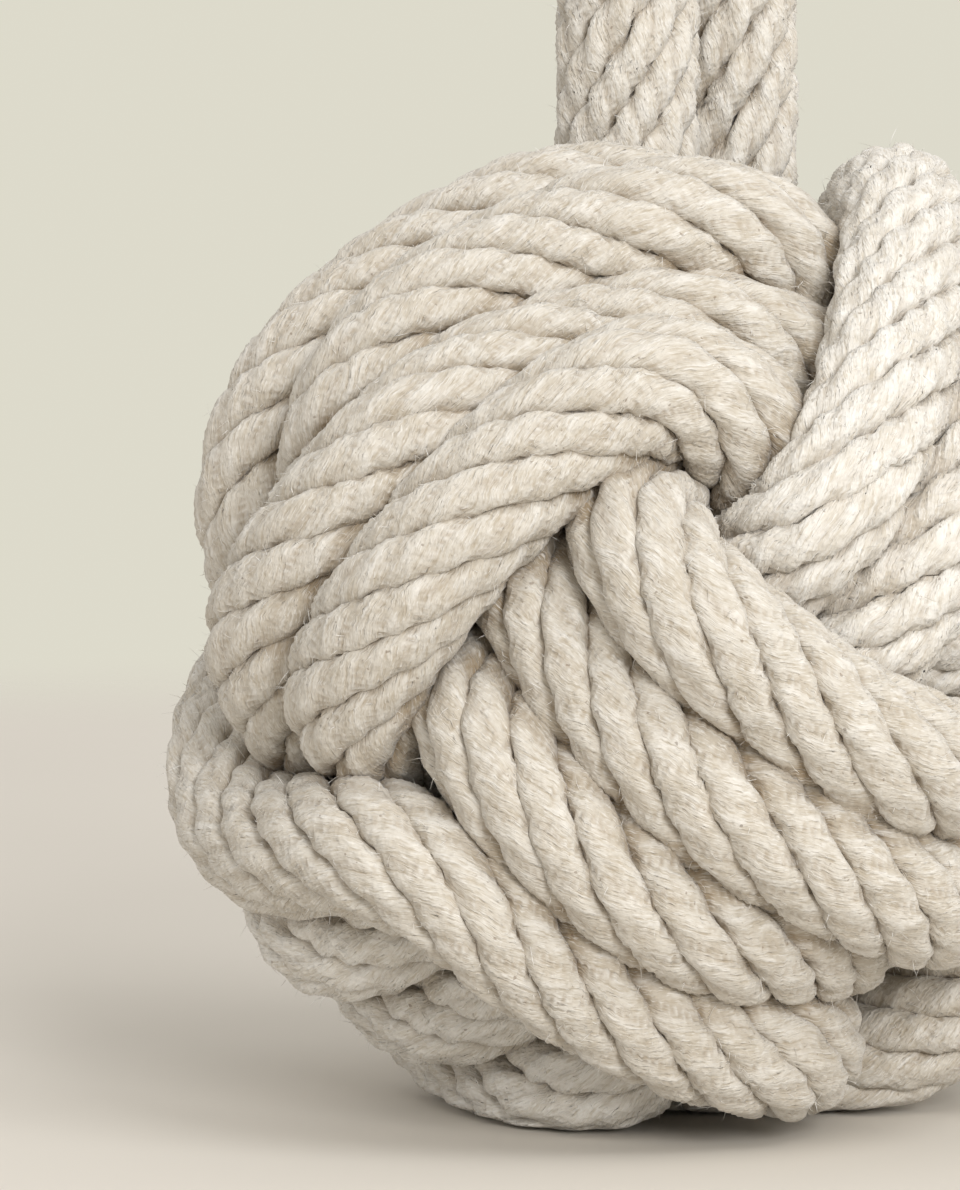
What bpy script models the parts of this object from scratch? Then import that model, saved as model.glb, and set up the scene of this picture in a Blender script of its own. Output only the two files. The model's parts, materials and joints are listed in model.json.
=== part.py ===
"""Rope knot doorstop: a four-turn monkey's fist of thick laid rope round an iron ball, with a rope handle.

Metres, +Z up. The knot stands on its underside at Z = 0, leans back a little and has one raised shoulder.
The handle rises upright from the corner on its top. Each band runs over one neighbouring band and under
the other.
"""

import math

import bmesh
import bpy
import numpy as np
from mathutils import Matrix

# Rope
KNOT_ROPE_DIAMETER = 0.0180  # the rope's width once it is packed between its neighbours
TURN_SPACING = 0.0187
HANDLE_ROPE_DIAMETER = 0.0236
SIDES_OF_A_ROPE = 8
SEAT_GAP = 0.0003

# Knot
TURNS_IN_A_BAND = 4
POINTS_PER_TURN = 24
CORE_DIAMETER = 0.056
CORE_SEGMENTS = 24
LEAN_BACK_DEGREES = 8.0
SHOULDER_RISE = 0.16  # the share by which the knot stands out further at its right shoulder
SHOULDER_DEGREES = 67.0  # above the level, towards +X
SHOULDER_TURN_DEGREES = -7.0
SHOULDER_SPREAD_DEGREES = 45.0
TUCK_DEGREES = 130.0  # how far round its band each end of the rope starts, buried under the next band
SAGGED = 0.24  # in turn spacings, how far the underside is pressed in where the knot stands
GROUND_FLAT_SHARE = 0.16  # of the rope's diameter

# Handle
HANDLE_HEIGHT = 0.128  # from the hinge to the top of the loop
HANDLE_INSIDE_WIDTH = 0.050
HANDLE_STRAIGHT_LENGTH = 0.030
HANDLE_PLANE_DEGREES = 40.0  # from the X axis, as seen from above
HANDLE_OFFSET_X = 0.0035
HANDLE_OFFSET_Y = 0.021
LEG_GAP = 0.0008
LEG_CLEARANCE = 0.0006
HINGE_OVER_KNOT = 0.005

# Whippings, the twine bound round each cut end
TWINE_DIAMETER = 0.0012
WHIPPING_LENGTH = 0.010
WHIPPING_FROM_END = 0.0025

SQRT_HALF = math.sqrt(0.5)
SQRT_SIXTH = math.sqrt(1 / 6)
SQRT_THIRD = math.sqrt(1 / 3)


def unit(vector):
    return vector / np.linalg.norm(vector)


def leaned_back(vector):
    """A direction of the upright knot, turned with the knot as its top leans back."""
    lean = math.radians(LEAN_BACK_DEGREES)
    x, y, z = vector
    return np.array([x, y * math.cos(lean) + z * math.sin(lean), z * math.cos(lean) - y * math.sin(lean)])


# The three band directions of the knot are square to each other, and its top corner lies between them.
LEFT = leaned_back([-SQRT_HALF, -SQRT_SIXTH, SQRT_THIRD])
RIGHT = leaned_back([SQRT_HALF, -SQRT_SIXTH, SQRT_THIRD])
FRONT = leaned_back([0.0, -2 * SQRT_SIXTH, -SQRT_THIRD])
TOP_CORNER = leaned_back([0.0, 0.0, 1.0])


def ease(share):
    """Runs smoothly from 0 to 1."""
    share = np.clip(share, 0, 1)
    return share * share * (3 - 2 * share)


def band(over, under, across, first_angle, last_angle):
    """One band of turns, in rope diameters: proud of the faces along `over`, buried at the faces along `under`.

    The rope moves one lane across once a turn, where it lies buried.
    """
    proud = TURNS_IN_A_BAND / 2 + 1.5
    buried = TURNS_IN_A_BAND / 2 + 0.5
    squareness = 2.6
    step = 360 / POINTS_PER_TURN
    degrees = np.arange(first_angle, last_angle - step / 2, -step)
    angle = np.radians(degrees)
    shape = (np.abs(np.cos(angle)) / proud) ** squareness + (np.abs(np.sin(angle)) / buried) ** squareness
    radius = shape ** (-1 / squareness)
    lane = np.full_like(degrees, -(TURNS_IN_A_BAND - 1) / 2)
    for turn in range(TURNS_IN_A_BAND - 1):
        lane += ease((-220 - 360 * turn - degrees) / 100)
    flat = np.outer(radius * np.cos(angle), over) + np.outer(radius * np.sin(angle), under)
    return flat + np.outer(lane, across)


def bridge(before, after, reach, count):
    """Points of a smooth curve from the end of one run to the start of the next."""
    start, leaving = before[-1], unit(before[-1] - before[-2]) * reach
    finish, arriving = after[0], unit(after[1] - after[0]) * reach
    t = np.linspace(0, 1, count + 2)[1:-1][:, None]
    return (
        (1 - t) ** 3 * start
        + 3 * (1 - t) ** 2 * t * (start + leaving)
        + 3 * (1 - t) * t**2 * (finish - arriving)
        + t**3 * finish
    )


def loose_route():
    """The knot as it is first laid: three bands in turn, with both ends tucked under."""
    last = -180 - 360 * (TURNS_IN_A_BAND - 1)
    first = band(LEFT, RIGHT, FRONT, TUCK_DEGREES, last - 20)
    second = band(RIGHT, FRONT, LEFT, 20, last - 20)
    third = band(FRONT, LEFT, RIGHT, 20, last - TUCK_DEGREES)
    return np.concatenate([first, bridge(first, second, 2.2, 3), second, bridge(second, third, 2.2, 3), third])


def even_points(points, spacing):
    """The same route with its points the same distance apart."""
    steps = np.linalg.norm(np.diff(points, axis=0), axis=1)
    along = np.concatenate([[0], np.cumsum(steps)])
    count = int(round(along[-1] / spacing)) + 1
    wanted = np.linspace(0, along[-1], count)
    return np.stack([np.interp(wanted, along, points[:, axis]) for axis in range(3)], axis=1)


def samples_of(points, per_step):
    """Points along each straight step and at the last end, with the step and the share of it of each."""
    steps = np.append(np.repeat(np.arange(len(points) - 1), per_step), len(points) - 2)
    share = np.append(np.tile(np.arange(per_step) / per_step, len(points) - 1), 1.0)[:, None]
    return points[steps] * (1 - share) + points[steps + 1] * share, steps, share


def close_pairs(samples, along, reach, least_along):
    """Pairs of samples nearer than `reach` that are at least `least_along` apart along the rope."""
    square = (samples**2).sum(1)
    distance = square[:, None] + square[None, :] - 2 * samples @ samples.T
    apart = np.abs(along[:, None] - along[None, :])
    return np.nonzero(np.triu((distance < reach**2) & (apart > least_along), 1))


def spread_to_points(moves, steps, share, count):
    """Shares out what each sample has to move between the two points that it lies between."""
    weight = np.bincount(steps, (1 - share)[:, 0], count) + np.bincount(steps + 1, share[:, 0], count)
    spread = np.empty((count, 3))
    for axis in range(3):
        before = np.bincount(steps, moves[:, axis] * (1 - share)[:, 0], count)
        after = np.bincount(steps + 1, moves[:, axis] * share[:, 0], count)
        spread[:, axis] = (before + after) / np.maximum(weight, 1e-6)
    return spread


def clearing_moves(samples, pairs, core_radius, leg_middle, leg_half, leg_reach, opened):
    """How far each sample has to go to be clear of the other turns, the core and the handle's legs."""
    first, second = pairs
    gap = samples[first] - samples[second]
    distance = np.linalg.norm(gap, axis=1)
    short = np.clip(1.04 - distance, 0, None)
    push = gap / np.maximum(distance, 1e-6)[:, None] * short[:, None] / 2
    moves = np.zeros_like(samples)
    for axis in range(3):
        moves[:, axis] += np.bincount(first, push[:, axis], len(samples))
        moves[:, axis] -= np.bincount(second, push[:, axis], len(samples))
    touching = np.bincount(first, short > 0, len(samples)) + np.bincount(second, short > 0, len(samples))
    moves /= np.maximum(touching, 1)[:, None]

    corner_line = samples[:, 2:] * (TOP_CORNER[:2] / TOP_CORNER[2])
    aside = samples[:, :2] - leg_middle * opened - corner_line * (1 - opened)
    beside = np.clip(aside @ leg_half / (leg_half @ leg_half), -opened, opened)
    aside = aside - beside[:, None] * leg_half
    off = np.linalg.norm(aside, axis=1)
    hit = (off < leg_reach * opened) & (samples[:, 2] > core_radius)
    moves[hit, :2] += aside[hit] / off[hit][:, None] * (leg_reach * opened - off[hit])[:, None]

    off = np.linalg.norm(samples, axis=1)
    hit = off < core_radius + 0.5
    moves[hit] += samples[hit] / off[hit][:, None] * (core_radius + 0.5 - off[hit])[:, None]
    return moves


def shouldered(points):
    """How much further out than a ball the knot stands in the direction of each point."""
    up, turn = math.radians(SHOULDER_DEGREES), math.radians(SHOULDER_TURN_DEGREES)
    shoulder = np.array([math.cos(up) * math.cos(turn), math.cos(up) * math.sin(turn), math.sin(up)])
    cosine = points @ shoulder / np.linalg.norm(points, axis=1)
    slant = np.degrees(np.arccos(np.clip(cosine, -1, 1)))
    return 1 + SHOULDER_RISE * ease(1 - slant / SHOULDER_SPREAD_DEGREES)


def snug_route(core_radius, leg_spots, leg_reach):
    """Draws the loose knot up: bends even out, and turns that come too near each other move apart.

    All sizes are in turn spacings. The turns stay off the core and off the two handle legs, which
    start as a thin line up the middle of the top corner, then open it to their own width and place.
    """
    spacing = 2 * math.pi * 3 / POINTS_PER_TURN
    least_along = 1.9
    drawing_rounds, clearing_rounds = 350, 400
    leg_middle = (leg_spots[0] + leg_spots[1]) / 2
    leg_half = (leg_spots[1] - leg_spots[0]) / 2
    points = even_points(loose_route(), spacing)
    for turn in range(drawing_rounds + clearing_rounds):
        drawing = turn < drawing_rounds
        if turn % (20 if drawing else 10) == 0:
            points = even_points(points, spacing)
            samples, steps, share = samples_of(points, 3)
            along = (steps + share[:, 0]) * spacing
            pairs = close_pairs(samples, along, 1.5, least_along)
        slack = np.zeros_like(points)
        slack[1:-1] = (points[:-2] + points[2:]) / 2 - points[1:-1]
        kink = np.zeros_like(points)
        kink[2:-2] = slack[2:-2] - (slack[1:-3] + slack[3:-1]) / 2
        pull = 0.10 * max(0.0, 1 - turn / drawing_rounds)
        opened = min(1, turn / (0.5 * drawing_rounds))
        points = points + pull * slack + (0.08 if drawing else 0.02) * kink
        if not drawing:
            points[0] += 0.5 * (2 * points[1] - points[2] - points[0])
            points[-1] += 0.5 * (2 * points[-2] - points[-3] - points[-1])
        if turn == drawing_rounds:
            points *= shouldered(points)[:, None]
        shell = TURNS_IN_A_BAND / 2 + (1.75 if drawing else 1.95)
        reach = shell if drawing else shell * shouldered(points)
        off = np.linalg.norm(points, axis=1)
        points -= points / off[:, None] * 0.25 * np.clip(off - reach, 0, None)[:, None]
        points[:, 2] = np.maximum(points[:, 2], SAGGED - shell)
        for _ in range(3):
            samples = points[steps] * (1 - share) + points[steps + 1] * share
            moves = clearing_moves(samples, pairs, core_radius, leg_middle, leg_half, leg_reach, opened)
            points += 1.7 * spread_to_points(moves, steps, share, len(points))
    return points


def least_distance(points, least_along):
    """The least distance of the rope's line to itself, measured on points ten to a step."""
    samples, steps, share = samples_of(points, 10)
    spacing = np.linalg.norm(np.diff(points, axis=0), axis=1).mean()
    along = (steps + share[:, 0]) * spacing
    least = math.inf
    for start in range(0, len(samples), 400):
        block = samples[start : start + 400]
        distance = np.linalg.norm(block[:, None, :] - samples[None, :, :], axis=2)
        near = np.abs(along[start : start + 400, None] - along[None, :]) <= least_along
        distance[near] = math.inf
        least = min(least, distance.min())
    return least


def straight_ends(points):
    """The same route with its last stretch at each end in line with the one before it."""
    points = points.copy()
    points[0] = 2 * points[1] - points[2]
    points[-1] = 2 * points[-2] - points[-3]
    return points


def frames_along(points):
    """A pair of directions across the rope at each point, carried along it without twist."""
    tangents = np.gradient(points, axis=0)
    tangents /= np.linalg.norm(tangents, axis=1)[:, None]
    across = [unit(np.cross(tangents[0], [0.31, 0.52, 0.80]))]
    for tangent in tangents[1:]:
        across.append(unit(across[-1] - tangent * (across[-1] @ tangent)))
    across = np.array(across)
    return across, np.cross(tangents, across)


def rings_along(points, radii, frames):
    """One ring of corners round the line at each point."""
    first, second = frames
    angle = 2 * math.pi * (np.arange(SIDES_OF_A_ROPE) + 0.5) / SIDES_OF_A_ROPE
    around = np.cos(angle)[None, :, None] * first[:, None, :] + np.sin(angle)[None, :, None] * second[:, None, :]
    return points[:, None, :] + np.asarray(radii)[:, None, None] * around


def strips_between(rings, closed):
    """Faces that join each ring of corners to the next, and on a closed sleeve the last to the first."""
    faces = []
    for ring in range(rings if closed else rings - 1):
        here = ring * SIDES_OF_A_ROPE
        there = (ring + 1) % rings * SIDES_OF_A_ROPE
        for side in range(SIDES_OF_A_ROPE):
            after = (side + 1) % SIDES_OF_A_ROPE
            faces.append((here + side, here + after, there + after, there + side))
    return faces


def mesh_object(name, rings, closed, material):
    """A rope, or with closed rings a sleeve, as one closed body."""
    count = len(rings)
    faces = strips_between(count, closed)
    if not closed:
        faces.append(tuple(reversed(range(SIDES_OF_A_ROPE))))
        faces.append(tuple(range((count - 1) * SIDES_OF_A_ROPE, count * SIDES_OF_A_ROPE)))
    mesh = bpy.data.meshes.new(name)
    mesh.from_pydata([tuple(corner) for corner in rings.reshape(-1, 3)], [], faces)
    form = bmesh.new()
    form.from_mesh(mesh)
    bmesh.ops.recalc_face_normals(form, faces=form.faces)
    form.to_mesh(mesh)
    form.free()
    mesh.materials.append(material)
    thing = bpy.data.objects.new(name, mesh)
    bpy.context.scene.collection.objects.link(thing)
    return thing


def neck_before_end(end, along, radius, neck_radius):
    """The last points and widths of a rope that is drawn in under its whipping."""
    length = WHIPPING_LENGTH + 2 * SEAT_GAP
    from_end = np.array([
        WHIPPING_FROM_END + length + TWINE_DIAMETER,
        WHIPPING_FROM_END + length,
        WHIPPING_FROM_END,
        WHIPPING_FROM_END - TWINE_DIAMETER,
        0.0,
    ])
    return end - along * from_end[:, None], [radius, neck_radius, neck_radius, radius, radius]


def whipped_rope(name, points, radius, whippings, material, twine):
    """A rope with the twine round its cut ends.

    `whippings` gives the name of the whipping at the start and at the finish, or None for an end without one.
    """
    neck_radius = radius - TWINE_DIAMETER - SEAT_GAP
    start_name, finish_name = whippings
    radii = [radius] * len(points)
    bound = []
    if finish_name:
        end, along = points[-1], unit(points[-1] - points[-2])
        drawn_in, widths = neck_before_end(end, along, radius, neck_radius)
        points, radii = np.concatenate([points[:-1], drawn_in]), radii[:-1] + widths
        bound.append((finish_name, end, along))
    if start_name:
        end, along = points[0], unit(points[0] - points[1])
        drawn_in, widths = neck_before_end(end, along, radius, neck_radius)
        points, radii = np.concatenate([drawn_in[::-1], points[1:]]), widths[::-1] + radii[1:]
        bound.append((start_name, end, along))
    first, second = frames_along(points)
    rope = mesh_object(name, rings_along(points, radii, (first, second)), False, material)
    for label, end, along in bound:
        at_start = np.allclose(end, points[0])
        near = end - along * (WHIPPING_FROM_END + SEAT_GAP)
        far = near - along * WHIPPING_LENGTH
        line = np.array([near, far, far, near])
        widths = [radius, radius, radius - TWINE_DIAMETER, radius - TWINE_DIAMETER]
        row = 2 if at_start else -3
        frames = (np.repeat(first[row][None, :], 4, axis=0), np.repeat(second[row][None, :], 4, axis=0))
        mesh_object(label, rings_along(line, widths, frames), True, twine)
    return rope


def cut_flat(thing, height):
    """Takes off what lies under a level plane and closes the cuts."""
    form = bmesh.new()
    form.from_mesh(thing.data)
    everything = form.verts[:] + form.edges[:] + form.faces[:]
    bmesh.ops.bisect_plane(
        form, geom=everything, dist=1e-6, plane_co=(0, 0, height), plane_no=(0, 0, -1), clear_outer=True
    )
    rims = [edge for edge in form.edges if edge.is_boundary]
    bmesh.ops.holes_fill(form, edges=rims, sides=0)
    bmesh.ops.recalc_face_normals(form, faces=form.faces)
    form.to_mesh(thing.data)
    form.free()


def cotton(name, colour):
    material = bpy.data.materials.new(name)
    material.use_nodes = True
    shader = material.node_tree.nodes["Principled BSDF"]
    shader.inputs["Base Color"].default_value = (*colour, 1)
    shader.inputs["Roughness"].default_value = 0.95
    return material


def cast_iron():
    material = bpy.data.materials.new("cast_iron")
    material.use_nodes = True
    shader = material.node_tree.nodes["Principled BSDF"]
    shader.inputs["Base Color"].default_value = (0.09, 0.09, 0.095, 1)
    shader.inputs["Metallic"].default_value = 0.8
    shader.inputs["Roughness"].default_value = 0.7
    return material


def core_weight(centre, material):
    """The iron ball that the knot is tied round."""
    bpy.ops.mesh.primitive_uv_sphere_add(
        segments=CORE_SEGMENTS, ring_count=CORE_SEGMENTS // 2, radius=CORE_DIAMETER / 2, location=centre
    )
    thing = bpy.context.object
    thing.name = "core_weight"
    thing.data.materials.append(material)
    bpy.ops.object.transform_apply(location=True)


def leg_places():
    """The middle of the handle's legs and the step from it to the right leg, as seen from above."""
    turn = math.radians(HANDLE_PLANE_DEGREES)
    half = (HANDLE_ROPE_DIAMETER + LEG_GAP) / 2
    return np.array([HANDLE_OFFSET_X, HANDLE_OFFSET_Y]), np.array([math.cos(turn), math.sin(turn)]) * half


def handle_line(middle, step, hinge_height):
    """The handle's line from one rounded end, up and round the eye of the loop, to the other, with its widths."""
    radius = HANDLE_ROPE_DIAMETER / 2
    half = np.linalg.norm(step)
    eye_radius = HANDLE_INSIDE_WIDTH / 2 + radius
    eye_height = HANDLE_HEIGHT - radius - eye_radius
    side, rise, widths = [], [], []
    for degrees in (84, 60, 30):
        turn = math.radians(degrees)
        side.append(half)
        rise.append(-radius * math.sin(turn))
        widths.append(radius * math.cos(turn))
    for share in np.linspace(0, 1, 3):
        side.append(half)
        rise.append(share * HANDLE_STRAIGHT_LENGTH)
    for share in np.linspace(0, 1, 7)[1:-1]:
        side.append(half + (eye_radius - half) * ease(share))
        rise.append(HANDLE_STRAIGHT_LENGTH + share * (eye_height - HANDLE_STRAIGHT_LENGTH))
    for turn in np.linspace(0, math.pi / 2, 7):
        side.append(eye_radius * math.cos(turn))
        rise.append(eye_height + eye_radius * math.sin(turn))
    widths += [radius] * (len(side) - len(widths))
    side = np.array(side + [-value for value in side[-2::-1]])
    rise = np.array(rise + rise[-2::-1])
    widths = widths + widths[-2::-1]
    flat = middle[None, :] + side[:, None] * unit(step)[None, :]
    return np.column_stack([flat, hinge_height + rise]), widths


def main():
    for thing in list(bpy.data.objects):
        bpy.data.objects.remove(thing)
    rope_cotton = cotton("rope_cotton", (0.70, 0.65, 0.56))
    waxed_twine = cotton("waxed_twine", (0.62, 0.52, 0.36))

    knot_radius = KNOT_ROPE_DIAMETER / 2
    leg_radius = HANDLE_ROPE_DIAMETER / 2
    middle, step = leg_places()
    spots = [(middle - step) / TURN_SPACING, (middle + step) / TURN_SPACING]
    reach = (leg_radius + knot_radius + LEG_CLEARANCE) / TURN_SPACING
    route = straight_ends(snug_route((CORE_DIAMETER / 2 + SEAT_GAP) / TURN_SPACING, spots, reach))
    least = least_distance(route, 1.9) * TURN_SPACING
    route = route * TURN_SPACING
    print("knot rope: least gap to itself %.2f mm, length %.2f m" % (
        (least - KNOT_ROPE_DIAMETER) * 1000, np.linalg.norm(np.diff(route, axis=0), axis=1).sum()))

    names = ("whipping_rope_start", "whipping_rope_finish")
    knot = whipped_rope("knot_rope", route, knot_radius, names, rope_cotton, waxed_twine)
    corners = np.array([corner.co for corner in knot.data.vertices])
    low, high = corners.min(0), corners.max(0)
    centre = -(low + high) / 2
    centre[2] = -low[2] - GROUND_FLAT_SHARE * KNOT_ROPE_DIAMETER
    for name in ("knot_rope", *names):
        bpy.data.objects[name].data.transform(Matrix.Translation(centre))
    cut_flat(knot, 0.0)
    core_weight(centre, cast_iron())

    middle = middle + centre[:2]
    hinge_height = centre[2] + high[2] + HINGE_OVER_KNOT
    root_foot = centre[2] + CORE_DIAMETER / 2 + SEAT_GAP
    root_head = hinge_height - leg_radius - SEAT_GAP
    print("knot centre", np.round(centre, 5), "hinge", np.round([*middle, hinge_height], 5))
    for side, place in (("left", middle - step), ("right", middle + step)):
        line = np.array([[*place, root_head], [*place, root_foot]])
        whippings = (None, "whipping_handle_" + side)
        whipped_rope("handle_root_" + side, line, leg_radius, whippings, rope_cotton, waxed_twine)
    line, widths = handle_line(middle, step, hinge_height)
    mesh_object("handle_loop", rings_along(line, widths, frames_along(line)), False, rope_cotton)


main()
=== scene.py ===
"""Rope knot doorstop: the looks of a laid cotton rope knot with a rope handle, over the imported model."""

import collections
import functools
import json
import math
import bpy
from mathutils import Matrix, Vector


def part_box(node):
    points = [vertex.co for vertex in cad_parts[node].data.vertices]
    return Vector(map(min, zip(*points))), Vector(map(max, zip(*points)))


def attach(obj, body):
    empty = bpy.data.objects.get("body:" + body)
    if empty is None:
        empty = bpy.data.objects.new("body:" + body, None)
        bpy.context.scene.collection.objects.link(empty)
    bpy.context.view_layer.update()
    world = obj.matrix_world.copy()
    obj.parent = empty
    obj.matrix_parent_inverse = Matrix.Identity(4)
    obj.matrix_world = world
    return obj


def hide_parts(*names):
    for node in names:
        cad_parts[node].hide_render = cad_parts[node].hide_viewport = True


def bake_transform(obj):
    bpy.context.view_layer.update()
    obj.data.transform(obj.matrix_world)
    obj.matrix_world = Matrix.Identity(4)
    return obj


bl_info = {
    "name": "Rope Knot Doorstop",
    "version": (1, 0, 0),
    "blender": (4, 5, 0),
    "location": "View3D > Sidebar > Doorstop",
    "description": "Models the strands, loose fibres, twine and studio of a rope knot doorstop",
    "category": "Object",
}

import bpy
import numpy as np
from mathutils import Vector

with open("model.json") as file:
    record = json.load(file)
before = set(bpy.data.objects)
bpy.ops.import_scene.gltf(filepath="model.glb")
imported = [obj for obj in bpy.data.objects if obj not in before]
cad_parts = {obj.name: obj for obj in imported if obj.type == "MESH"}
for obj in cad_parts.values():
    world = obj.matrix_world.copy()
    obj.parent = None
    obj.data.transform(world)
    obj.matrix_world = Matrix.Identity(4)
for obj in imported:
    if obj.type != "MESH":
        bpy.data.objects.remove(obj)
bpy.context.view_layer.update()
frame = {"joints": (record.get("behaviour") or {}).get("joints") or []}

# The knot's route, which repeats the part's own sizes
TURN_SPACING = 0.0187
TURNS_IN_A_BAND = 4
POINTS_PER_TURN = 24
CORE_DIAMETER = 0.056
LEAN_BACK_DEGREES = 8.0
TUCK_DEGREES = 130.0
SAGGED = 0.24
SHOULDER_RISE = 0.16
SHOULDER_DEGREES = 67.0
SHOULDER_TURN_DEGREES = -7.0
SHOULDER_SPREAD_DEGREES = 45.0
KNOT_ROPE_DIAMETER = 0.0180
HANDLE_ROPE_DIAMETER = 0.0236
SEAT_GAP = 0.0003
LEG_GAP = 0.0008
LEG_CLEARANCE = 0.0006
HANDLE_OFFSET = (0.0035, 0.021)
HANDLE_PLANE_DEGREES = 40.0
HANDLE_HEIGHT = 0.128
HANDLE_INSIDE_WIDTH = 0.050
HANDLE_STRAIGHT_LENGTH = 0.030

KNOT_CENTRE = np.mean(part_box("core_weight"), axis=0)
HINGE = np.array(frame["joints"][0]["pos_m"])

# Not in line with any rope, so a direction across a rope can be taken from it
ASKEW = (0.31, 0.52, 0.80)

TWINE_THICKNESS = 0.0012
TWINE_PLIES = 3

# The photograph's frame in pixels, the knot's middle and radius in it, and that radius in metres
PHOTO_WIDTH, PHOTO_HEIGHT = 960, 1190
KNOT_PIXEL = (672, 625)
KNOT_PIXEL_RADIUS = 504.7
KNOT_RADIUS = 0.0825
CAMERA_DISTANCE = 1.0

SQRT_HALF = math.sqrt(0.5)
SQRT_SIXTH = math.sqrt(1 / 6)
SQRT_THIRD = math.sqrt(1 / 3)


def unit(vector):
    return vector / np.linalg.norm(vector)


def tangents_of(line):
    tangents = np.gradient(line, axis=0)
    return tangents / np.linalg.norm(tangents, axis=1)[:, None]


def steps_and_along(line):
    """The length of each step of a line, and how far along the line each of its points lies."""
    steps = np.linalg.norm(np.diff(line, axis=0), axis=1)
    return steps, np.concatenate([[0], np.cumsum(steps)])


def linked(name, data):
    thing = bpy.data.objects.new(name, data)
    bpy.context.scene.collection.objects.link(thing)
    return thing


def leaned_back(vector):
    lean = math.radians(LEAN_BACK_DEGREES)
    x, y, z = vector
    return np.array([x, y * math.cos(lean) + z * math.sin(lean), z * math.cos(lean) - y * math.sin(lean)])


LEFT = leaned_back([-SQRT_HALF, -SQRT_SIXTH, SQRT_THIRD])
RIGHT = leaned_back([SQRT_HALF, -SQRT_SIXTH, SQRT_THIRD])
FRONT = leaned_back([0.0, -2 * SQRT_SIXTH, -SQRT_THIRD])
TOP_CORNER = leaned_back([0.0, 0.0, 1.0])


def ease(share):
    share = np.clip(share, 0, 1)
    return share * share * (3 - 2 * share)


# The route of the rope through the knot

def band(over, under, across, first_angle, last_angle):
    """One band of turns, in turn spacings, that lies proud along `over` and buried along `under`."""
    proud = TURNS_IN_A_BAND / 2 + 1.5
    buried = TURNS_IN_A_BAND / 2 + 0.5
    squareness = 2.6
    step = 360 / POINTS_PER_TURN
    degrees = np.arange(first_angle, last_angle - step / 2, -step)
    angle = np.radians(degrees)
    shape = (np.abs(np.cos(angle)) / proud) ** squareness + (np.abs(np.sin(angle)) / buried) ** squareness
    radius = shape ** (-1 / squareness)
    lane = np.full_like(degrees, -(TURNS_IN_A_BAND - 1) / 2)
    change_from, change_over = -220, 100
    for turn in range(TURNS_IN_A_BAND - 1):
        lane += ease((change_from - 360 * turn - degrees) / change_over)
    flat = np.outer(radius * np.cos(angle), over) + np.outer(radius * np.sin(angle), under)
    return flat + np.outer(lane, across)


def bridge(before, after):
    """Points that lead the rope from the end of one band into the next."""
    reach, count = 2.2, 3
    start, leaving = before[-1], unit(before[-1] - before[-2]) * reach
    finish, arriving = after[0], unit(after[1] - after[0]) * reach
    t = np.linspace(0, 1, count + 2)[1:-1][:, None]
    return (
        (1 - t) ** 3 * start
        + 3 * (1 - t) ** 2 * t * (start + leaving)
        + 3 * (1 - t) * t**2 * (finish - arriving)
        + t**3 * finish
    )


def loose_route():
    entry, last = 20, -180 - 360 * (TURNS_IN_A_BAND - 1)
    first = band(LEFT, RIGHT, FRONT, TUCK_DEGREES, last - entry)
    second = band(RIGHT, FRONT, LEFT, entry, last - entry)
    third = band(FRONT, LEFT, RIGHT, entry, last - TUCK_DEGREES)
    return np.concatenate([first, bridge(first, second), second, bridge(second, third), third])


def even_points(points, spacing):
    _, along = steps_and_along(points)
    count = int(round(along[-1] / spacing)) + 1
    wanted = np.linspace(0, along[-1], count)
    return np.stack([np.interp(wanted, along, points[:, axis]) for axis in range(3)], axis=1)


def between(points, steps, share):
    return points[steps] * (1 - share) + points[steps + 1] * share


def samples_of(points):
    """Samples along the line: where each lies, on which step, and at what share of it."""
    per_step = 3
    steps = np.append(np.repeat(np.arange(len(points) - 1), per_step), len(points) - 2)
    share = np.append(np.tile(np.arange(per_step) / per_step, len(points) - 1), 1.0)[:, None]
    return between(points, steps, share), steps, share


def close_pairs(samples, along):
    """Samples that are near each other but aren't neighbours on the rope."""
    reach, least_along = 1.5, 1.9
    square = (samples**2).sum(1)
    distance = square[:, None] + square[None, :] - 2 * samples @ samples.T
    apart = np.abs(along[:, None] - along[None, :])
    return np.nonzero(np.triu((distance < reach**2) & (apart > least_along), 1))


def spread_to_points(moves, steps, share, count):
    weight = np.bincount(steps, (1 - share)[:, 0], count) + np.bincount(steps + 1, share[:, 0], count)
    spread = np.empty((count, 3))
    for axis in range(3):
        before = np.bincount(steps, moves[:, axis] * (1 - share)[:, 0], count)
        after = np.bincount(steps + 1, moves[:, axis] * share[:, 0], count)
        spread[:, axis] = (before + after) / np.maximum(weight, 1e-6)
    return spread


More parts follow.
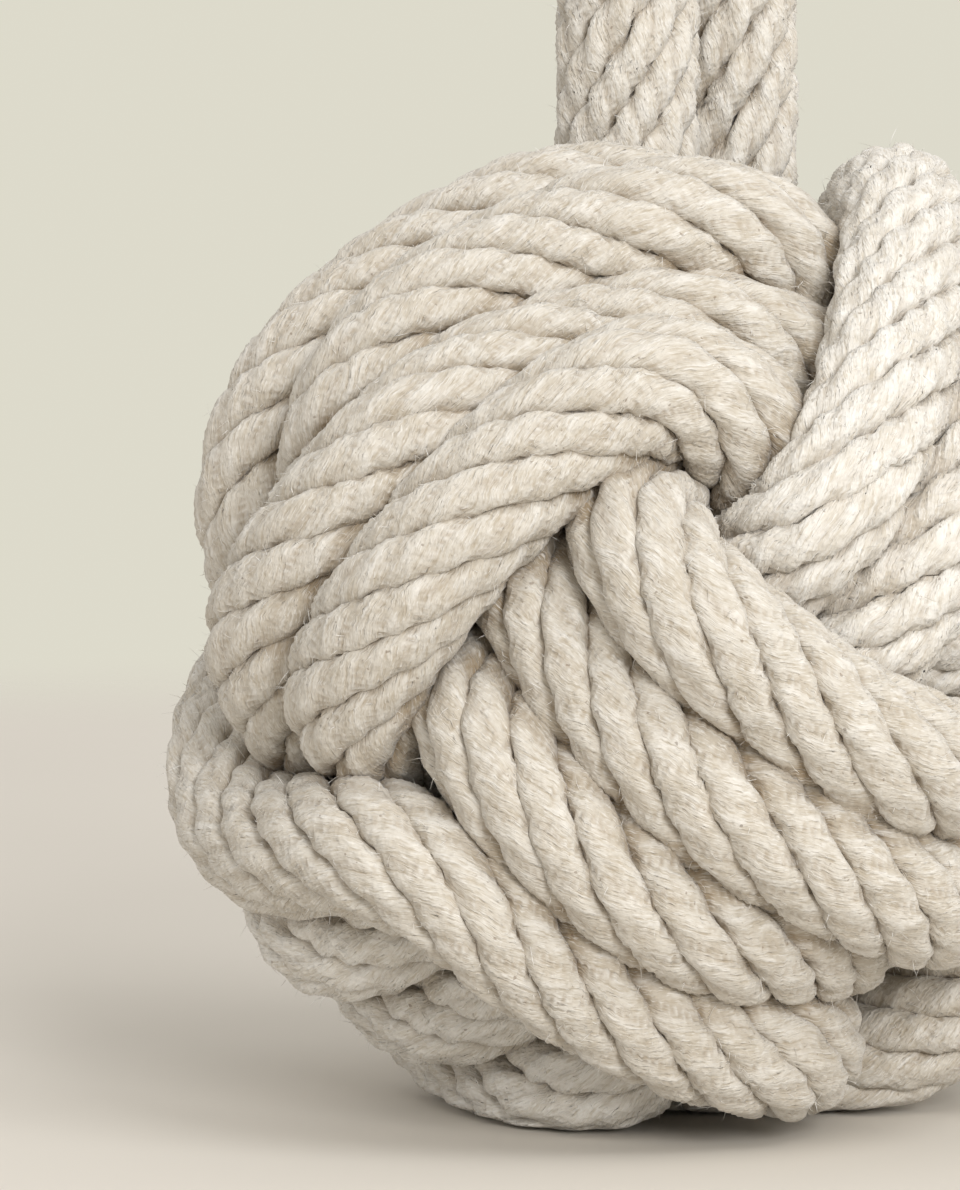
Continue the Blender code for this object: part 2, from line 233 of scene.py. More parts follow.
def clearing_moves(samples, pairs, core_radius, leg_middle, leg_half, leg_reach, opened):
    """How each sample moves to clear the other turns, the handle's legs and the core, in turn spacings."""
    least_apart = 1.04
    first, second = pairs
    gap = samples[first] - samples[second]
    distance = np.linalg.norm(gap, axis=1)
    short = np.clip(least_apart - distance, 0, None)
    push = gap / np.maximum(distance, 1e-6)[:, None] * short[:, None] / 2
    moves = np.zeros_like(samples)
    for axis in range(3):
        moves[:, axis] += np.bincount(first, push[:, axis], len(samples))
        moves[:, axis] -= np.bincount(second, push[:, axis], len(samples))
    touching = np.bincount(first, short > 0, len(samples)) + np.bincount(second, short > 0, len(samples))
    moves /= np.maximum(touching, 1)[:, None]

    corner_line = samples[:, 2:] * (TOP_CORNER[:2] / TOP_CORNER[2])
    aside = samples[:, :2] - leg_middle * opened - corner_line * (1 - opened)
    beside = np.clip(aside @ leg_half / (leg_half @ leg_half), -opened, opened)
    aside = aside - beside[:, None] * leg_half
    off = np.linalg.norm(aside, axis=1)
    hit = (off < leg_reach * opened) & (samples[:, 2] > core_radius)
    moves[hit, :2] += aside[hit] / off[hit][:, None] * (leg_reach * opened - off[hit])[:, None]

    off = np.linalg.norm(samples, axis=1)
    core_reach = core_radius + 0.5
    hit = off < core_reach
    moves[hit] += samples[hit] / off[hit][:, None] * (core_reach - off[hit])[:, None]
    return moves


def leg_places():
    turn = math.radians(HANDLE_PLANE_DEGREES)
    half = (HANDLE_ROPE_DIAMETER + LEG_GAP) / 2
    return np.array(HANDLE_OFFSET), np.array([math.cos(turn), math.sin(turn)]) * half


def shouldered(points):
    """How much further out than a ball the knot stands in the direction of each point."""
    up, turn = math.radians(SHOULDER_DEGREES), math.radians(SHOULDER_TURN_DEGREES)
    shoulder = np.array([math.cos(up) * math.cos(turn), math.cos(up) * math.sin(turn), math.sin(up)])
    cosine = points @ shoulder / np.linalg.norm(points, axis=1)
    slant = np.degrees(np.arccos(np.clip(cosine, -1, 1)))
    return 1 + SHOULDER_RISE * ease(1 - slant / SHOULDER_SPREAD_DEGREES)


@functools.lru_cache(maxsize=1)
def snug_route():
    """The knot drawn up as in the part, in metres."""
    middle, half = leg_places()
    leg_middle, leg_half = middle / TURN_SPACING, half / TURN_SPACING
    leg_reach = (HANDLE_ROPE_DIAMETER / 2 + KNOT_ROPE_DIAMETER / 2 + LEG_CLEARANCE) / TURN_SPACING
    core_radius = (CORE_DIAMETER / 2 + SEAT_GAP) / TURN_SPACING
    spacing = 2 * math.pi * 3 / POINTS_PER_TURN
    drawing_rounds, clearing_rounds = 350, 400
    squeeze, push_out, pushes = 0.25, 1.7, 3
    points = even_points(loose_route(), spacing)
    for turn in range(drawing_rounds + clearing_rounds):
        drawing = turn < drawing_rounds
        renewed_every = 20 if drawing else 10
        if turn % renewed_every == 0:
            points = even_points(points, spacing)
            samples, steps, share = samples_of(points)
            pairs = close_pairs(samples, (steps + share[:, 0]) * spacing)
        slack = np.zeros_like(points)
        slack[1:-1] = (points[:-2] + points[2:]) / 2 - points[1:-1]
        kink = np.zeros_like(points)
        kink[2:-2] = slack[2:-2] - (slack[1:-3] + slack[3:-1]) / 2
        pull = 0.10 * max(0.0, 1 - turn / drawing_rounds)
        evening = 0.08 if drawing else 0.02
        opened = min(1, turn / (0.5 * drawing_rounds))
        points = points + pull * slack + evening * kink
        if not drawing:
            points[0] += 0.5 * (2 * points[1] - points[2] - points[0])
            points[-1] += 0.5 * (2 * points[-2] - points[-3] - points[-1])
        if turn == drawing_rounds:
            points *= shouldered(points)[:, None]
        shell = TURNS_IN_A_BAND / 2 + (1.75 if drawing else 1.95)
        reach = shell if drawing else shell * shouldered(points)
        off = np.linalg.norm(points, axis=1)
        points -= points / off[:, None] * squeeze * np.clip(off - reach, 0, None)[:, None]
        points[:, 2] = np.maximum(points[:, 2], SAGGED - shell)
        for _ in range(pushes):
            samples = between(points, steps, share)
            moves = clearing_moves(samples, pairs, core_radius, leg_middle, leg_half, leg_reach, opened)
            points += push_out * spread_to_points(moves, steps, share, len(points))
    points[0] = 2 * points[1] - points[2]
    points[-1] = 2 * points[-2] - points[-3]
    return points * TURN_SPACING + KNOT_CENTRE


def handle_route():
    """The handle's whole line: up from the core, round the eye and down to the core."""
    _, step = leg_places()
    radius = HANDLE_ROPE_DIAMETER / 2
    half = np.linalg.norm(step)
    eye_radius = HANDLE_INSIDE_WIDTH / 2 + radius
    eye_height = HANDLE_HEIGHT - radius - eye_radius
    foot = KNOT_CENTRE[2] + CORE_DIAMETER / 2 + SEAT_GAP - HINGE[2]
    leg_points, flare_points, eye_points = 12, 9, 9
    side, rise = [], []
    for share in np.linspace(0, 1, leg_points):
        side.append(half)
        rise.append(foot + share * (HANDLE_STRAIGHT_LENGTH - foot))
    for share in np.linspace(0, 1, flare_points)[1:-1]:
        side.append(half + (eye_radius - half) * float(ease(share)))
        rise.append(HANDLE_STRAIGHT_LENGTH + share * (eye_height - HANDLE_STRAIGHT_LENGTH))
    for turn in np.linspace(0, math.pi / 2, eye_points):
        side.append(eye_radius * math.cos(turn))
        rise.append(eye_height + eye_radius * math.sin(turn))
    side = np.array(side + [-value for value in side[-2::-1]])
    rise = np.array(rise + rise[-2::-1])
    flat = HINGE[None, :2] + side[:, None] * unit(step)[None, :]
    return np.column_stack([flat, HINGE[2] + rise])


# Rope laying

def smooth_line(points, spacing):
    """A smooth line through the points, with its own points evenly spaced."""
    parts, rounding = 16, 0.004
    before = np.vstack([2 * points[0] - points[1], points[:-1]])
    after = np.vstack([points[1:], 2 * points[-1] - points[-2]])
    slope = (after - before) / 2
    dense = []
    for share in np.linspace(0, 1, parts + 1)[:-1]:
        a = 2 * share**3 - 3 * share**2 + 1
        b = share**3 - 2 * share**2 + share
        c = -2 * share**3 + 3 * share**2
        d = share**3 - share**2
        dense.append(a * points[:-1] + b * slope[:-1] + c * points[1:] + d * slope[1:])
    line = np.stack(dense, axis=1).reshape(-1, 3)
    line = even_points(np.vstack([line, points[-1]]), spacing)
    for _ in range(int(rounding / spacing) * 2):
        line[1:-1] = (line[:-2] + 2 * line[1:-1] + line[2:]) / 4
    return line


def carried_frames(line):
    """Directions across the line that are carried along it without twist."""
    tangents = tangents_of(line)
    first = np.empty_like(line)
    first[0] = unit(np.cross(tangents[0], ASKEW))
    for row in range(1, len(line)):
        first[row] = unit(first[row - 1] - tangents[row] * (first[row - 1] @ tangents[row]))
    return tangents, first, np.cross(tangents, first)


def wander(along, scale, seed):
    """A slow, smooth, repeatable wandering between about -1 and 1."""
    rng = np.random.default_rng(seed)
    total = np.zeros_like(along)
    for octave in range(4):
        phase = along * (2 * math.pi / scale) * (0.6 + 0.5 * octave)
        total += np.sin(phase + rng.uniform(0, 6.28)) / (1 + octave)
    return total / 1.6


# How a rope is laid: the length of one turn of its strands and the depth of their dents at each point,
# how closely other turns press on it, which deepens the painted shade there, and the yarns in each strand
Lay = collections.namedtuple("Lay", "radius strands lead relief nearness yarns yarn_step seed")


def nearness_of_turns(line, radius):
    """How closely other turns press on the rope's skin, from 0 to 1, by ring and by sector round it; it
    deepens the painted shade.
    """
    sectors, row_step, rows_at_once, own_rows, reach = 12, 4, 40, 30, 0.0035
    _, first, second = carried_frames(line)
    angle = 2 * math.pi * np.arange(sectors) / sectors
    outward = np.cos(angle)[:, None] * first[:, None, :] + np.sin(angle)[:, None] * second[:, None, :]
    skin = line[:, None, :] + radius * outward
    rows = np.arange(0, len(line), row_step)
    nearest = np.empty(skin.shape[:2])
    for start in range(0, len(line), rows_at_once):
        near_rows = np.arange(start, min(start + rows_at_once, len(line)))
        gap = np.linalg.norm(skin[near_rows][:, :, None, :] - line[rows][None, None], axis=3)
        own = np.abs(rows[None, :] - near_rows[:, None]) < own_rows
        gap[np.broadcast_to(own[:, None, :], gap.shape)] = math.inf
        nearest[near_rows] = gap.min(axis=2)
    return np.clip(1 - (nearest - radius) / reach, 0, 1)


def around_ring(table, angle):
    """Values of a table of sectors at any angle round each ring."""
    sectors = table.shape[1]
    spot = np.mod(angle / (2 * math.pi), 1.0) * sectors
    low = spot.astype(int) % sectors
    share = spot - np.floor(spot)
    rings = np.arange(len(table))[:, None]
    return table[rings, low] * (1 - share) + table[rings, (low + 1) % sectors] * share


def strand_shape(line, lay, radii, number, sides):
    """One strand's corners by ring, the length along it, and each corner's depth and height on its yarn; the
    depth, lowered where other turns come near, masks the painted shade.
    """
    tangents, first, second = carried_frames(line)
    steps, along = steps_and_along(line)

    def uneven(scale, seed):
        return wander(along, scale, lay.seed + seed + number)

    twist = np.concatenate([[0], np.cumsum(2 * math.pi / lay.lead[1:] * steps)])
    turn = twist + 2 * math.pi * number / lay.strands + 0.05 * uneven(0.06, 0)
    outward = np.cos(turn)[:, None] * first + np.sin(turn)[:, None] * second
    sideways = np.cross(tangents, outward)

    half_height = radii * (0.315 + 0.012 * uneven(0.045, 40))
    overlap, roundness, sharpness, fullness, crowding_shade = 1.22, 2.5, 1.2, 1.04, 0.24
    half_width = math.pi * (radii - half_height) / lay.strands * overlap
    middle = radii - half_height + radii * 0.02 * uneven(0.08, 80)
    around = math.pi + 2 * math.pi * np.arange(sides) / sides
    corner = (np.abs(np.cos(around)) ** roundness + np.abs(np.sin(around)) ** roundness) ** (-1 / roundness)
    up, across = np.cos(around) * corner, np.sin(around) * corner
    stray = 0.9 * uneven(0.03, 120) + 0.5 * uneven(0.011, 160)
    yarn_turn = lay.yarns * (around[None, :] - math.pi) / 2
    phase = math.pi * (along / lay.yarn_step)[:, None] + yarn_turn + stray[:, None]
    yarn = np.abs(np.sin(phase)) ** sharpness
    swell = fullness - lay.relief[:, None] * (1 - yarn)
    rise = middle[:, None] + half_height[:, None] * up[None, :] * swell
    shift = half_width[:, None] * across[None, :] * swell
    risen = line[:, None, :] + rise[:, :, None] * outward[:, None, :]
    corners = risen + shift[:, :, None] * sideways[:, None, :]
    # Corners near other turns count as deeper, so they take more painted shade
    pressed = around_ring(lay.nearness, turn[:, None] + np.arctan2(shift, rise))
    depth = np.sqrt(rise**2 + shift**2) / radii[:, None] * (1 - crowding_shade * pressed)
    return corners, along, depth, yarn


def press_to_floor(corners):
    """Squashes what would go under the floor on to it."""
    limit = 0.003
    low = corners[..., 2] < limit
    corners[..., 2][low] = limit * np.exp((corners[..., 2][low] - limit) / limit)
    return corners


def mesh_of(name, vertices, *groups):
    """A smooth mesh whose faces come in groups, each a table with one row of corner numbers for a face."""
    loops = np.concatenate([faces.ravel() for faces in groups])
    sizes = np.concatenate([np.full(len(faces), faces.shape[1]) for faces in groups])
    mesh = bpy.data.meshes.new(name)
    mesh.vertices.add(len(vertices))
    mesh.vertices.foreach_set("co", vertices.astype(np.float32).ravel())
    mesh.loops.add(len(loops))
    mesh.loops.foreach_set("vertex_index", loops.astype(np.int32))
    mesh.polygons.add(len(sizes))
    mesh.polygons.foreach_set("loop_start", (np.cumsum(sizes) - sizes).astype(np.int32))
    mesh.update(calc_edges=True)
    mesh.shade_smooth()
    return mesh


def tube(name, corners, along, marks, start_u, perimeter):
    """A closed tube with a texture map in metres along and round it, and the named marks of each corner."""
    rings, sides = corners.shape[:2]
    ring = np.arange(rings - 1)[:, None] * sides
    side = np.arange(sides)[None, :]
    after = (side + 1) % sides
    quads = [ring + side, ring + after, ring + sides + after, ring + sides + side]
    start_cap = np.arange(sides)[None, ::-1]
    end_cap = (rings - 1) * sides + side
    mesh = mesh_of(name, corners.reshape(-1, 3), np.stack(quads, axis=-1).reshape(-1, 4), start_cap, end_cap)
    u, v = start_u + along, perimeter * np.arange(sides + 1) / sides
    grid = np.stack(np.meshgrid(u, v, indexing="ij"), axis=-1)
    places = np.stack([grid[:-1, :-1], grid[:-1, 1:], grid[1:, 1:], grid[1:, :-1]], axis=2).ravel()
    places = np.concatenate([places, np.zeros(4 * sides)])
    layer = mesh.uv_layers.new(name="Lay")
    layer.data.foreach_set("uv", places.astype(np.float32))
    for mark, values in marks.items():
        attribute = mesh.attributes.new(mark, "FLOAT", "POINT")
        attribute.data.foreach_set("value", values.astype(np.float32).ravel())
    return linked(name, mesh)


# Materials

STRAND_GIRTH = 2.1  # the distance round a strand, in radii of its rope


class Wiring:
    """A short way to add nodes to a material and join them up."""

    def __init__(self, name):
        self.material = bpy.data.materials.new(name)
        self.material.use_nodes = True
        self.nodes = self.material.node_tree.nodes
        self.links = self.material.node_tree.links
        self.shader = self.nodes["Principled BSDF"]

    def node(self, kind, **settings):
        made = self.nodes.new(kind)
        for key, value in settings.items():
            setattr(made, key, value)
        return made

    def feed(self, socket, value):
        if isinstance(value, bpy.types.NodeSocket):
            self.links.new(value, socket)
        else:
            socket.default_value = value

    def math(self, operation, first, second=0.0, third=0.0):
        made = self.node("ShaderNodeMath", operation=operation)
        for socket, value in zip(made.inputs, (first, second, third)):
            self.feed(socket, value)
        return made.outputs[0]

    def between(self, value, low, high, to_low=0.0, to_high=1.0):
        made = self.node("ShaderNodeMapRange", interpolation_type="SMOOTHSTEP")
        for socket, given in zip(made.inputs, (value, low, high, to_low, to_high)):
            self.feed(socket, given)
        return made.outputs[0]

    def noise(self, place, scale, detail=2.0, roughness=0.5):
        made = self.node("ShaderNodeTexNoise")
        self.feed(made.inputs["Vector"], place)
        made.inputs["Scale"].default_value = scale
        made.inputs["Detail"].default_value = detail
        made.inputs["Roughness"].default_value = roughness
        return made.outputs["Fac"]

    def mix(self, share, first, second, blend="MIX"):
        made = self.node("ShaderNodeMix", data_type="RGBA", blend_type=blend)
        self.feed(made.inputs[0], share)
        self.feed(made.inputs[6], first)
        self.feed(made.inputs[7], second)
        return made.outputs[2]

    def place(self, x, y):
        made = self.node("ShaderNodeCombineXYZ")
        for socket, value in zip(made.inputs, (x, y)):
            self.feed(socket, value)
        return made.outputs[0]

    def lay_map(self):
        """The lengths along and round a tube, from its texture map."""
        split = self.node("ShaderNodeSeparateXYZ")
        self.feed(split.inputs[0], self.node("ShaderNodeUVMap", uv_map="Lay").outputs[0])
        return split.outputs[0], split.outputs[1]

    def object_place(self):
        return self.node("ShaderNodeTexCoord").outputs["Object"]

    def mark(self, name):
        return self.node("ShaderNodeAttribute", attribute_name=name).outputs["Fac"]

    def bump(self, height, strength, distance, below=None):
        made = self.node("ShaderNodeBump")
        self.feed(made.inputs["Height"], height)
        made.inputs["Strength"].default_value = strength
        made.inputs["Distance"].default_value = distance
        if below is not None:
            self.links.new(below, made.inputs["Normal"])
        return made.outputs["Normal"]


def opaque(colour):
    return (*colour, 1.0)


def cotton_strand(name, look, rope_radius, yarns, yarn_step):
    """Laid cotton: soft yarns that cross the strand, fine fibres along them, mottles, brown painted shade in
    the grooves, the yarn valleys and between the fibres, and a painted-light colour on the middle band.
    """
    wiring = Wiring(name)
    u, v = wiring.lay_map()
    here = wiring.object_place()
    depth, yarn, painted_light_share = wiring.mark("depth"), wiring.mark("yarn"), wiring.mark("painted_light_share")

    yarn_width = STRAND_GIRTH * rope_radius / yarns
    slope = math.atan2(yarn_width, yarn_step)
    wave = wiring.noise(here, 110.0, 1.0)
    bent = wiring.math("MULTIPLY_ADD", wave, 0.0025, u)
    along_v = wiring.math("MULTIPLY", v, -math.sin(slope))
    lengthwise = wiring.math("MULTIPLY_ADD", bent, math.cos(slope), along_v)
    across_v = wiring.math("MULTIPLY", v, math.cos(slope))
    crosswise = wiring.math("MULTIPLY_ADD", bent, math.sin(slope), across_v)

    def streaks(long_scale, cross_scale, detail):
        long_place = wiring.math("MULTIPLY", lengthwise, long_scale)
        cross_place = wiring.math("MULTIPLY", crosswise, cross_scale)
        return wiring.noise(wiring.place(long_place, cross_place), 1.0, detail, 0.7)

    tuft = streaks(120.0, 700.0, 2.0)
    fibre = streaks(220.0, 2300.0, 2.0)
    hair = streaks(450.0, 6000.0, 1.0)

    # Painted light: the middle band, and the handle in part, take a lighter, whiter colour in place of the
    # light that falls on that band
    base = wiring.mix(painted_light_share, opaque(look.cotton_colour), opaque(look.painted_light_colour))
    pale = wiring.mix(0.45, base, opaque(look.fibre_colour))
    # A duller tint for the cotton's own mottles, and painted shade for the dark fibre streaks
    mottle_and_fibre_shade = wiring.mix(1.0, base, opaque(look.mottle_and_fibre_shade_tint), "MULTIPLY")
    # Painted shade: a dark brown for the shade in the grooves, the yarn valleys and between the fibres, made
    # lighter on the middle band
    painted_shade = wiring.mix(wiring.math("MULTIPLY", painted_light_share, 0.45), opaque(look.groove_shade_and_twine_patch_colour), base)
    # Painted shade in the grooves, where the surface lies low or other turns come near
    colour = wiring.mix(wiring.between(depth, 0.70, 0.90), painted_shade, base)
    mottle = wiring.noise(here, 200.0, 4.0, 0.62)
    colour = wiring.mix(wiring.between(mottle, 0.44, 0.64, 0.0, 0.5), colour, mottle_and_fibre_shade)
    colour = wiring.mix(wiring.between(tuft, 0.48, 0.68, 0.0, 0.65), colour, pale)
    # Dark streaks along the fibres, the darkest in the groove shade colour: painted shade between the fibres
    colour = wiring.mix(wiring.between(fibre, 0.54, 0.30, 0.0, 0.8), colour, mottle_and_fibre_shade)
    colour = wiring.mix(wiring.between(fibre, 0.36, 0.24, 0.0, 0.3), colour, painted_shade)
    colour = wiring.mix(wiring.between(hair, 0.52, 0.72, 0.0, 0.7), colour, pale)
    # Painted shade in the valleys between the yarns
    yarn_valley_shade = wiring.math("SUBTRACT", 1.0, wiring.between(yarn, 0.0, 0.6))
    yarn_valley_shade = wiring.math("MULTIPLY", yarn_valley_shade, wiring.between(tuft, 0.35, 0.65, 0.2, 0.55))
    colour = wiring.mix(yarn_valley_shade, colour, painted_shade)
    speck = wiring.between(wiring.noise(here, 900.0, 1.0), 0.735, 0.79, 0.0, 0.5)
    colour = wiring.mix(speck, colour, opaque(look.speck_colour))
    wiring.feed(wiring.shader.inputs["Base Color"], colour)
    wiring.feed(wiring.shader.inputs["Roughness"], wiring.between(fibre, 0.3, 0.7, 0.98, 0.88))
    wiring.shader.inputs["Sheen Weight"].default_value = 0.25
    wiring.shader.inputs["Sheen Roughness"].default_value = 0.5
    wiring.shader.inputs["Specular IOR Level"].default_value = 0.15
    lumps = wiring.bump(wiring.noise(here, 520.0, 2.0, 0.6), 0.6, 0.0007)
    coarse = wiring.bump(tuft, 0.8, 0.0007, lumps)
    middling = wiring.bump(fibre, 0.8, 0.0004, coarse)
    fine = wiring.bump(hair, 0.8, 0.00015, middling)
    wiring.feed(wiring.shader.inputs["Normal"], fine)
    return wiring.material


def loose_fibre_cotton(look):
    """Pale single fibres, some a little duller."""
    wiring = Wiring("loose_fibre_cotton")
    share = wiring.between(wiring.noise(wiring.object_place(), 300.0, 1.0), 0.4, 0.6)
    colour = wiring.mix(share, opaque(look.fibre_colour), opaque(look.cotton_colour))
    wiring.feed(wiring.shader.inputs["Base Color"], colour)
    wiring.shader.inputs["Roughness"].default_value = 0.9
    wiring.shader.inputs["Sheen Weight"].default_value = 0.2
    return wiring.material


def waxed_twine(look):
    """Hard-laid waxed twine with fine plies across it."""
    ply_step, girth = 0.0012, 0.0038
    wiring = Wiring("waxed_twine_wound")
    u, v = wiring.lay_map()
    phase = wiring.math("MULTIPLY", u, math.pi / ply_step)
    phase = wiring.math("MULTIPLY_ADD", v, math.pi * TWINE_PLIES / girth, phase)
    ply = wiring.math("ABSOLUTE", wiring.math("SINE", phase))
    patch = wiring.noise(wiring.object_place(), 500.0, 2.0)
    share = wiring.between(patch, 0.35, 0.65)
    colour = wiring.mix(share, opaque(look.twine_colour), opaque(look.groove_shade_and_twine_patch_colour))
    wiring.feed(wiring.shader.inputs["Base Color"], colour)
    wiring.feed(wiring.shader.inputs["Roughness"], wiring.between(patch, 0.3, 0.7, 0.55, 0.7))
    wiring.feed(wiring.shader.inputs["Normal"], wiring.bump(ply, 0.8, 0.0002))
    return wiring.material


def cast_iron(look):
    """Sand-cast iron with a grainy skin and rust in its pits."""
    wiring = Wiring("sand_cast_iron")
    here = wiring.object_place()
    grain = wiring.noise(here, 900.0, 4.0, 0.7)
    patch = wiring.noise(here, 70.0, 4.0, 0.6)
    rust = wiring.between(patch, 0.52, 0.66)
    colour = wiring.mix(rust, opaque(look.iron_colour), opaque(look.rust_colour))
    wiring.feed(wiring.shader.inputs["Base Color"], colour)
    wiring.feed(wiring.shader.inputs["Metallic"], wiring.between(patch, 0.52, 0.66, 0.85, 0.1))
    wiring.feed(wiring.shader.inputs["Roughness"], wiring.between(grain, 0.3, 0.7, 0.55, 0.8))
    wiring.feed(wiring.shader.inputs["Normal"], wiring.bump(grain, 0.7, 0.0004))
    return wiring.material


def studio_paper(look):
    """Matt paper that fades out some way off, so that the backdrop takes over softly from every side."""
    wiring = Wiring("studio_paper")
    here = wiring.object_place()
    patch = wiring.between(wiring.noise(here, 3.0, 2.0), 0.3, 0.7, 0.0, 0.04)
    faint_patch_colour = (0.5, 0.48, 0.42)
    colour = wiring.mix(patch, opaque(look.floor_colour), opaque(faint_patch_colour))
    wiring.feed(wiring.shader.inputs["Base Color"], colour)
    wiring.shader.inputs["Roughness"].default_value = 0.95
    wiring.shader.inputs["Specular IOR Level"].default_value = 0.1
    away = wiring.node("ShaderNodeVectorMath", operation="LENGTH")
    wiring.feed(away.inputs[0], here)
    fade = wiring.between(away.outputs["Value"], look.floor_radius * 0.7, look.floor_radius)
    both = wiring.node("ShaderNodeMixShader")
    wiring.feed(both.inputs[0], fade)
    wiring.feed(both.inputs[1], wiring.shader.outputs[0])
    wiring.feed(both.inputs[2], wiring.node("ShaderNodeBsdfTransparent").outputs[0])
    wiring.feed(wiring.nodes["Material Output"].inputs["Surface"], both.outputs[0])
    return wiring.material


# Settings

def colour_property(name, description, default):
    return bpy.props.FloatVectorProperty(
        name=name, description=description, default=default, size=3, min=0.0, max=1.0, subtype="COLOR"
    )


def length_property(name, description, default):
    return bpy.props.FloatProperty(
        name=name, description=description, default=default, min=0.0, precision=4,
        unit="LENGTH", subtype="DISTANCE",
    )


def power_property(name, description, default):
    return bpy.props.FloatProperty(name=name, description=description, default=default, min=0.0, unit="POWER")


def angle_property(name, description, degrees):
    return bpy.props.FloatProperty(
        name=name, description=description, default=math.radians(degrees), unit="ROTATION"
    )


def count_property(name, description, default, least, most):
    return bpy.props.IntProperty(name=name, description=description, default=default, min=least, max=most)


class DOORSTOP_PG_rope(bpy.types.PropertyGroup):
    """Sizes of the laid ropes."""

    knot_strands: count_property("Knot Strands", "Strands laid round the knot's rope", 7, 3, 12)
    handle_strands: count_property("Handle Strands", "Strands laid round the handle's rope", 8, 3, 12)
    knot_radius: length_property("Knot Rope Radius", "Radius over the knot rope's strands", 0.0116)
    handle_radius: length_property("Handle Rope Radius", "Radius over the handle rope's strands", 0.0120)
    long_lead: length_property("Long Lead", "Length of one turn of the strands in the outer bands", 0.080)
    handle_lead: length_property("Handle Lead", "Length of one turn of the strands in the handle", 0.090)
    short_lead: length_property("Short Lead", "Length of one turn of the strands in the middle band", 0.076)
    yarn_step: length_property("Yarn Step", "Distance from yarn to yarn along the rope", 0.0052)
    yarns: count_property("Yarns", "Yarns round each strand", 4, 2, 12)
    ring_step: length_property("Ring Step", "Distance between the rings of a strand's mesh", 0.0012)


class DOORSTOP_PG_fibres(bpy.types.PropertyGroup):
    """Amount and size of the loose fibres."""

    on_knot: count_property("On the Knot", "Loose fibres on the knot", 18000, 0, 19000)
    on_handle: count_property("On the Handle", "Loose fibres on the handle", 3500, 0, 6000)
    shortest: length_property("Shortest", "Length of the shortest loose fibre", 0.0008)
    longest: length_property("Longest", "Length of the longest loose fibre", 0.0036)
    thickness: length_property("Thickness", "Diameter of a loose fibre at its root", 0.0001)


class DOORSTOP_PG_look(bpy.types.PropertyGroup):
    """Colours of the cotton, twine and iron."""

    cotton_colour: colour_property("Cotton", "Colour of the cotton on a strand's crown", (0.63, 0.59, 0.525))
    # Painted light: a lighter, whiter colour for the middle band, standing in for the light on it
    painted_light_colour: colour_property("Clean Cotton", "Colour of the middle band's cotton", (0.765, 0.736, 0.685))
    # Painted shade: the colour of the shade in the cotton's grooves; on the twine, the colour of its darker
    # patches
    groove_shade_and_twine_patch_colour: colour_property("Groove", "Colour of the cotton between the strands", (0.34, 0.265, 0.18))
    # Its duller patches are the cotton's own mottles; on the fibre streaks it is painted shade
    mottle_and_fibre_shade_tint: colour_property("Mottle", "Tint of the duller patches and fibres", (0.74, 0.69, 0.61))
    fibre_colour: colour_property("Fibre", "Colour of the palest fibres", (0.93, 0.92, 0.90))
    speck_colour: colour_property("Speck", "Colour of the bits of seed husk", (0.16, 0.10, 0.06))
    twine_colour: colour_property("Twine", "Colour of the waxed twine", (0.62, 0.52, 0.36))
    iron_colour: colour_property("Iron", "Colour of the bare cast iron", (0.09, 0.09, 0.095))
    rust_colour: colour_property("Rust", "Colour of the rust in the iron's skin", (0.16, 0.07, 0.035))


class DOORSTOP_PG_stage(bpy.types.PropertyGroup):
    """The studio and the camera."""

    floor_colour: colour_property("Floor", "Colour of the floor", (0.715, 0.68, 0.625))
    floor_radius: length_property("Floor Radius", "How far off the floor has faded into the backdrop", 1.02)
    wall_colour: colour_property("Wall", "Colour of the backdrop as it is seen", (0.725, 0.703, 0.600))
    key_power: power_property("Key Light", "Power of the large soft light in front", 68.0)
    side_power: power_property("Side Light", "Power of the soft light high on the right", 37.0)
    fill_strength: bpy.props.FloatProperty(
        name="Fill", description="Strength of the even light from all round", default=0.74, min=0.0
    )
    azimuth: angle_property("Azimuth", "Turn of the camera round the knot", -7.0)
    elevation: angle_property("Elevation", "Height angle of the camera", 4.0)


# Pieces

def necked(along, radius, neck, cut):
    """The rope's radius along its length, drawn in where twine binds it near its two ends."""
    places = [0.0, 0.0018, 0.0024, 0.0128, 0.0165, 0.026]
    bounds = [cut, cut, neck, neck, cut, radius]
    radii = np.full_like(along, radius)
    for from_end in (along, along[-1] - along):
        radii = np.minimum(radii, np.interp(from_end, places, bounds))
    return radii


def lay_rope(label, line, lay, radii, painted_light_share, sides, body, material, nodes, blend_over=None):
    """A rope's strands, each with its texture map moved on so that no two look alike."""
    map_shift = 0.37
    for number in range(lay.strands):
        corners, along, depth, yarn = strand_shape(line, lay, radii, number, sides)
        marks = {"depth": depth, "yarn": yarn, "painted_light_share": np.repeat(painted_light_share, sides)}
        name = "%s_strand_%d" % (label, number + 1)
        pressed = press_to_floor(corners)
        strand = tube(name, pressed, along, marks, number * map_shift, STRAND_GIRTH * lay.radius)
        strand.data.materials.append(material)
        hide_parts(*nodes)
        if blend_over:
            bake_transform(strand)
        else:
            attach(strand, body)


def exposed(points, rows_of_points, line, reach):
    """Which points aren't covered by another turn of the rope than the one they stand on."""
    own_rows, points_at_once = 8, 200
    open_air = np.ones(len(points), bool)
    rows = np.arange(len(line))
    for start in range(0, len(points), points_at_once):
        some = slice(start, start + points_at_once)
        gap = np.linalg.norm(points[some, None, :] - line[None, :, :], axis=2)
        gap[np.abs(rows[None, :] - rows_of_points[some, None]) < own_rows] = math.inf
        open_air[some] = gap.min(axis=1) > reach
    return open_air


